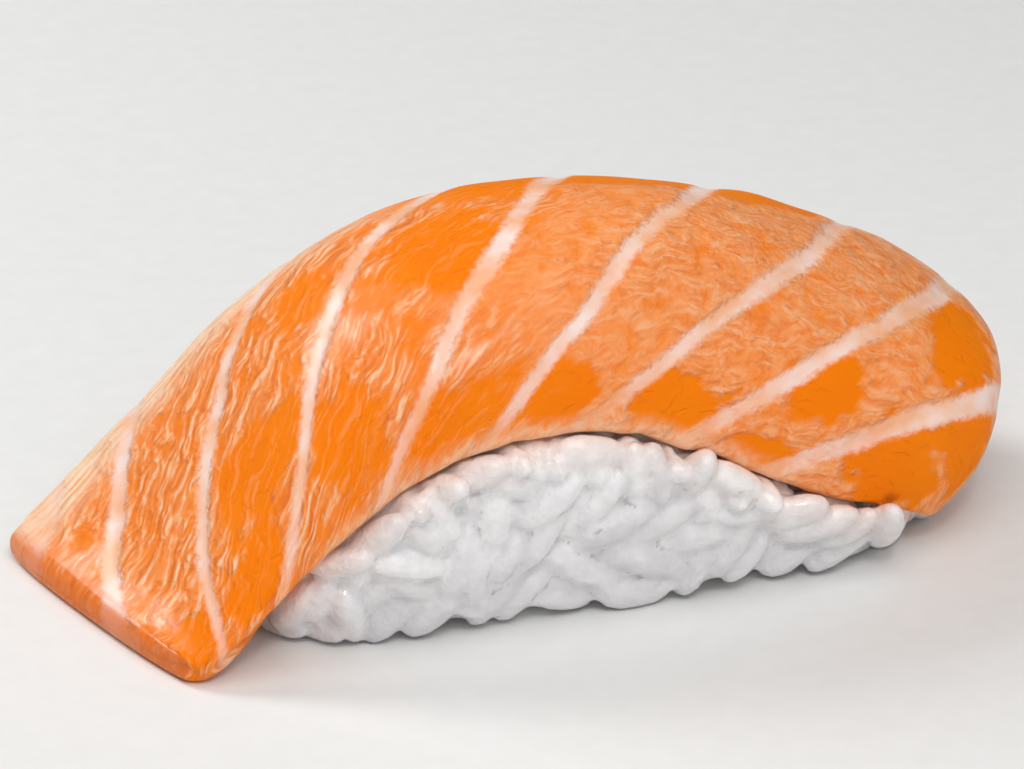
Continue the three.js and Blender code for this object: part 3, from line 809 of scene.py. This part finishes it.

# %% Finish, raw salmon: the painted sheen band
# a painted sheen, streaked along its length: a streak is 0.6 mm wide and 8 mm long
sheen_band = add(tree, "SeparateXYZ", [line], out=2)
sheen_place = add(tree, "CombineXYZ", [place_x, sheen_band, 0.0])
sheen_place = add(tree, "VectorMath", [sheen_place, (0.13, 1.7, 1.0)], operation="MULTIPLY")
sheen_warp = add(tree, "VectorMath", {0: wander, "Scale": 1.2}, operation="SCALE")
sheen_place = add(tree, "VectorMath", [sheen_place, sheen_warp], operation="ADD")
streak = add(tree, "TexNoise", {"Vector": sheen_place, "Scale": 1.0, "Detail": 3.0, "Roughness": 0.6})
sheen_near = add(tree, "MapRange", {"Value": sheen_band, "From Min": -8.0, "From Max": -3.0}, **SMOOTHLY)
sheen_far = add(tree, "MapRange", {"Value": sheen_band, "From Min": 7.0, "From Max": 2.0}, **SMOOTHLY)
sheen_end = add(tree, "MapRange", {"Value": place_x, "From Min": 46.0, "From Max": 28.0}, **SMOOTHLY)
sheen_band = add(tree, "Math", [sheen_near, sheen_far], operation="MULTIPLY")
sheen_band = add(tree, "Math", [sheen_band, sheen_end], operation="MULTIPLY")
streaky = add(tree, "MapRange", {"Value": streak, "From Min": 0.38, "From Max": 0.56,
                                 "To Min": 0.4, "To Max": 1.0})
sheen_band = add(tree, "Math", [sheen_band, streaky], operation="MULTIPLY")

# %% Finish, raw salmon: colours
flesh_noise = add(tree, "TexNoise", {"Vector": place, "Scale": 0.12, "Detail": 3.0})
flesh = add(tree, "Mix", {"Factor": flesh_noise, "A": linear("F97802"), "B": linear("FA8708")},
            **OF_COLOURS)
not_clear = add(tree, "Math", [1.0, clear_zone], operation="SUBTRACT")
haze = add(tree, "MapRange", {"Value": tuft, "From Min": 0.2, "To Min": 0.1, "To Max": 0.55})
haze = add(tree, "Math", [haze, not_clear], operation="MULTIPLY")
flesh = add(tree, "Mix", {"Factor": haze, "A": flesh, "B": linear("FBA064")}, **OF_COLOURS)
# each layer covers what lies under it, up to its own share
LAYERS = [
    (crumb, 0.66, "FCA970"), (crest_highlight, 0.48, "FEC8A0"), (wrinkle_shade, 0.42, "E2640A"),
    (fibre_highlight, 0.9, "FECBA2"), (fibre_shade, 0.6, "DC640E"), (sheen_band, 1.0, "FDDBBA"),
]
for layer, most, colour in LAYERS:
    share = add(tree, "Math", [layer, most], operation="MULTIPLY")
    flesh = add(tree, "Mix", {"Factor": share, "A": flesh, "B": linear(colour)}, **OF_COLOURS)
fat_colour = add(tree, "Mix", {"Factor": fat_depth, "A": linear("FAB890"), "B": linear("FDE2D8")},
                 **OF_COLOURS)
flesh = add(tree, "Mix", {"Factor": fat, "A": flesh, "B": fat_colour}, **OF_COLOURS)

# %% Finish, raw salmon: lip, bruise and cut end
# the lip is thin enough for the rice to show through it
lip_noise = add(tree, "MapRange", {"Value": break_up, "From Min": 0.4, "From Max": 0.58,
                                   "To Min": 0.35, "To Max": 1.0})
lip = add(tree, "MapRange", {"Value": long_edge, "From Min": 0.3, "From Max": 2.4,
                             "To Min": 1.0, "To Max": 0.0}, **SMOOTHLY)
lip = add(tree, "Math", [lip, lip_noise], operation="MULTIPLY")
lip_start = add(tree, "MapRange", {"Value": place_x, "From Min": 18.0, "From Max": 28.0})
lip = add(tree, "Math", [lip, lip_start], operation="MULTIPLY")
lip_stop = add(tree, "MapRange", {"Value": place_x, "From Min": 86.0, "From Max": 74.0})
lip = add(tree, "Math", [lip, lip_stop], operation="MULTIPLY")
# one small bruise by the tucked end
bruise = add(tree, "VectorMath", [place, (92.0, -25.0, 0.0)], out="Value", operation="DISTANCE")
bruise = add(tree, "MapRange", {"Value": bruise, "From Min": 1.8, "From Max": 0.5, "To Max": 0.75})
bruise = add(tree, "Math", [bruise, broken], operation="MULTIPLY")
# painted shade: the cut end faces down and away from the lights, so it is painted a deeper colour
cut_shade = add(tree, "MapRange", {"Value": table_end, "From Min": 1.6, "From Max": 0.3})
cut_shade = add(tree, "Math", [cut_shade, 0.75], operation="MULTIPLY")
for layer, colour in ((lip, "F7BE98"), (bruise, "9A3A14"), (cut_shade, "DF6E20")):
    flesh = add(tree, "Mix", {"Factor": layer, "A": flesh, "B": linear(colour)}, **OF_COLOURS)

# %% Finish, raw salmon: relief and shader
# relief too fine for the mesh: a height of 1 is 0.6 mm
height = add(tree, "Math", [fibre, fibre_zone], operation="MULTIPLY")
height = add(tree, "Math", [contour, -0.15, height], operation="MULTIPLY_ADD")
ripple_height = add(tree, "Math", [ripple, crumb_zone], operation="MULTIPLY")
height = add(tree, "Math", [ripple_height, 1.0, height], operation="MULTIPLY_ADD")
height = add(tree, "Math", [break_up, 0.15, height], operation="MULTIPLY_ADD")
lean = add(tree, "Math", [fat, -0.9, 1.0], operation="MULTIPLY_ADD")
height = add(tree, "Math", [height, lean], operation="MULTIPLY")
bump = add(tree, "Bump", {"Height": height, "Distance": 0.0006, "Strength": 0.8})
gloss = add(tree, "Math", [fibre_zone, crumb_zone], operation="ADD")
gloss = add(tree, "Math", [gloss, fat], operation="ADD")
gloss = add(tree, "MapRange", {"Value": gloss, "To Min": 0.03, "To Max": 0.3})
shader = add(tree, "BsdfPrincipled", {
    "Base Color": flesh, "Roughness": 0.6, "IOR": 1.34, "Specular IOR Level": 0.12, "Normal": bump,
    "Subsurface Weight": 0.25, "Subsurface Radius": (1.0, 0.35, 0.12), "Subsurface Scale": 0.0016,
    "Coat Weight": gloss, "Coat Roughness": 0.14,
})
add(tree, "OutputMaterial", {"Surface": shader})
salmon.data.materials.append(raw_salmon)
print("salmon finish", len(tree.nodes), "nodes")


# %% [markdown]
# Cooked rice is soft starch full of water: white, slightly see-through, with a sticky film that
# shines in small spots. Each grain is a little milkier or clearer than the next, and light
# bounced from the salmon is painted as a peach tint on the rice beside it.

# %% Finish: cooked rice
cooked_rice, tree = new_finish("cooked_white_rice")
where = add(tree, "TexCoord", out="Object")
grain = add(tree, "Attribute", attribute_name="grain", out="Vector")
shade = add(tree, "SeparateXYZ", [grain], out=0)
to_slice = add(tree, "SeparateXYZ", [grain], out=1)
# clouds in the starch are 1.5 mm wide, and each grain is a little milkier or clearer
cloud = add(tree, "TexNoise", {"Vector": where, "Scale": 650.0, "Detail": 2.0})
milky = add(tree, "Math", [shade, 0.5, cloud], operation="MULTIPLY_ADD")
milky = add(tree, "MapRange", {"Value": milky, "From Min": 0.4, "From Max": 1.1})
white = add(tree, "Mix", {"Factor": milky, "A": linear("DEDCDE"), "B": linear("F8F6F6")}, **OF_COLOURS)
# painted shade: the rice turns greyer over its lowest 9 mm, towards the table
low = add(tree, "SeparateXYZ", [where], out=2)
low = add(tree, "MapRange", {"Value": low, "From Min": 0.009, "From Max": 0.001, "To Max": 0.45})
white = add(tree, "Mix", {"Factor": low, "A": white, "B": linear("C2BFC3")}, **OF_COLOURS)
# painted shade: the rice is greyer in the creases between grains
crease_shade = add(tree, "SeparateXYZ", [grain], out=2)
crease_shade = add(tree, "MapRange", {"Value": crease_shade, "From Min": 0.08, "From Max": 0.45,
                                "To Max": 0.75}, **SMOOTHLY)
white = add(tree, "Mix", {"Factor": crease_shade, "A": white, "B": linear("B4AFB2")}, **OF_COLOURS)
# painted light bounced from the salmon: the rice within 1 to 4 mm of the slice is tinted peach
salmon_bounce = add(tree, "MapRange", {"Value": to_slice, "From Min": 0.2, "From Max": 4.0,
                               "To Min": 0.4, "To Max": 0.0}, **SMOOTHLY)
white = add(tree, "Mix", {"Factor": salmon_bounce, "A": white, "B": linear("F5D3C0")}, **OF_COLOURS)
# the sticky film is uneven over half a millimetre
film = add(tree, "TexNoise", {"Vector": where, "Scale": 1800.0, "Detail": 2.0})
bump = add(tree, "Bump", {"Height": film, "Distance": 0.00025, "Strength": 0.7})
shader = add(tree, "BsdfPrincipled", {
    "Base Color": white, "Roughness": 0.45, "IOR": 1.38, "Normal": bump,
    "Subsurface Weight": 0.85, "Subsurface Radius": (1.0, 0.95, 0.9), "Subsurface Scale": 0.0006,
    "Coat Weight": 1.0, "Coat Roughness": 0.07,
})
add(tree, "OutputMaterial", {"Surface": shader})
rice.data.materials.append(cooked_rice)


# %% [markdown]
# The stage is a pale floor and soft lights. The photograph was taken from the front left, a
# little above, with a long lens, so the camera stands 380 mm away.

# %% Camera
VIEW_AZIMUTH, VIEW_ELEVATION = -20.0, 25.0
VIEW_DISTANCE = 380.0
VIEW_TARGET = np.array([-4.5, 0, 14])
PIXELS_PER_MM = 12.5
IMAGE_WIDTH, SENSOR_WIDTH = 1024, 36.0


def direction(azimuth, elevation):
    """A unit vector from the subject towards a viewer: azimuth 0 is in front, at -Y."""
    a, e = math.radians(azimuth), math.radians(elevation)
    return np.array([math.sin(a) * math.cos(e), -math.cos(a) * math.cos(e), math.sin(e)])


def aim(made, place_mm, target_mm):
    """Puts an object at a place and turns its -Z to a target."""
    made.location = Vector(place_mm * MM)
    made.rotation_euler = Vector((target_mm - place_mm) * MM).to_track_quat("-Z", "Y").to_euler()


camera = bpy.data.objects.new("camera", bpy.data.cameras.new("camera"))
bpy.context.collection.objects.link(camera)
camera.data.sensor_width = SENSOR_WIDTH
camera.data.lens = SENSOR_WIDTH * PIXELS_PER_MM * VIEW_DISTANCE / IMAGE_WIDTH
camera.data.clip_start, camera.data.clip_end = 0.01, 10
aim(camera, VIEW_TARGET + direction(VIEW_AZIMUTH, VIEW_ELEVATION) * VIEW_DISTANCE, VIEW_TARGET)
bpy.context.scene.camera = camera
print("lens in mm", round(camera.data.lens, 1))


# %% Floor
FLOOR_SIZE, FLOOR_HEIGHT = 1200.0, -0.02    # mm, a hair under the part
floor_points = np.array([(-1, -1, 0), (1, -1, 0), (1, 1, 0), (-1, 1, 0)]) * FLOOR_SIZE / 2
floor = build_mesh("floor", floor_points + np.array([0, 0, FLOOR_HEIGHT]), [[0, 1, 2, 3]])
board, tree = new_finish("matt_white_board")
where = add(tree, "TexCoord", out="Object")
tooth = add(tree, "TexNoise", {"Vector": where, "Scale": 400.0, "Detail": 3.0})
tone = add(tree, "Mix", {"Factor": tooth, "A": linear("E8E8E6"), "B": linear("EFEFED")}, **OF_COLOURS)
shader = add(tree, "BsdfPrincipled", {"Base Color": tone, "Roughness": 0.7})
add(tree, "OutputMaterial", {"Surface": shader})
floor.data.materials.append(board)


# %% Lights
LIGHTS = [  # name, azimuth, elevation, distance in mm, size in mm, watts
    ("back_left_softbox", 222, 40, 480, 180, 1.05),
    ("overhead_softbox", -5, 68, 600, 600, 1.95),
    ("front_softbox", 0, 24, 700, 900, 1.85),
    ("small_lamp", -8, 50, 500, 60, 0.3),
]
for name, azimuth, elevation, distance, size, watts in LIGHTS:
    lamp = bpy.data.objects.new(name, bpy.data.lights.new(name, "AREA"))
    bpy.context.collection.objects.link(lamp)
    lamp.data.size = size * MM
    lamp.data.energy = watts
    aim(lamp, VIEW_TARGET + direction(azimuth, elevation) * distance, VIEW_TARGET)

world = bpy.data.worlds.new("pale_studio")
bpy.context.scene.world = world
world.use_nodes = True
sky = world.node_tree.nodes["Background"]
sky.inputs["Color"].default_value = linear("E8EAEC")
sky.inputs["Strength"].default_value = 0.19
bpy.context.scene.view_settings.view_transform = "Standard"
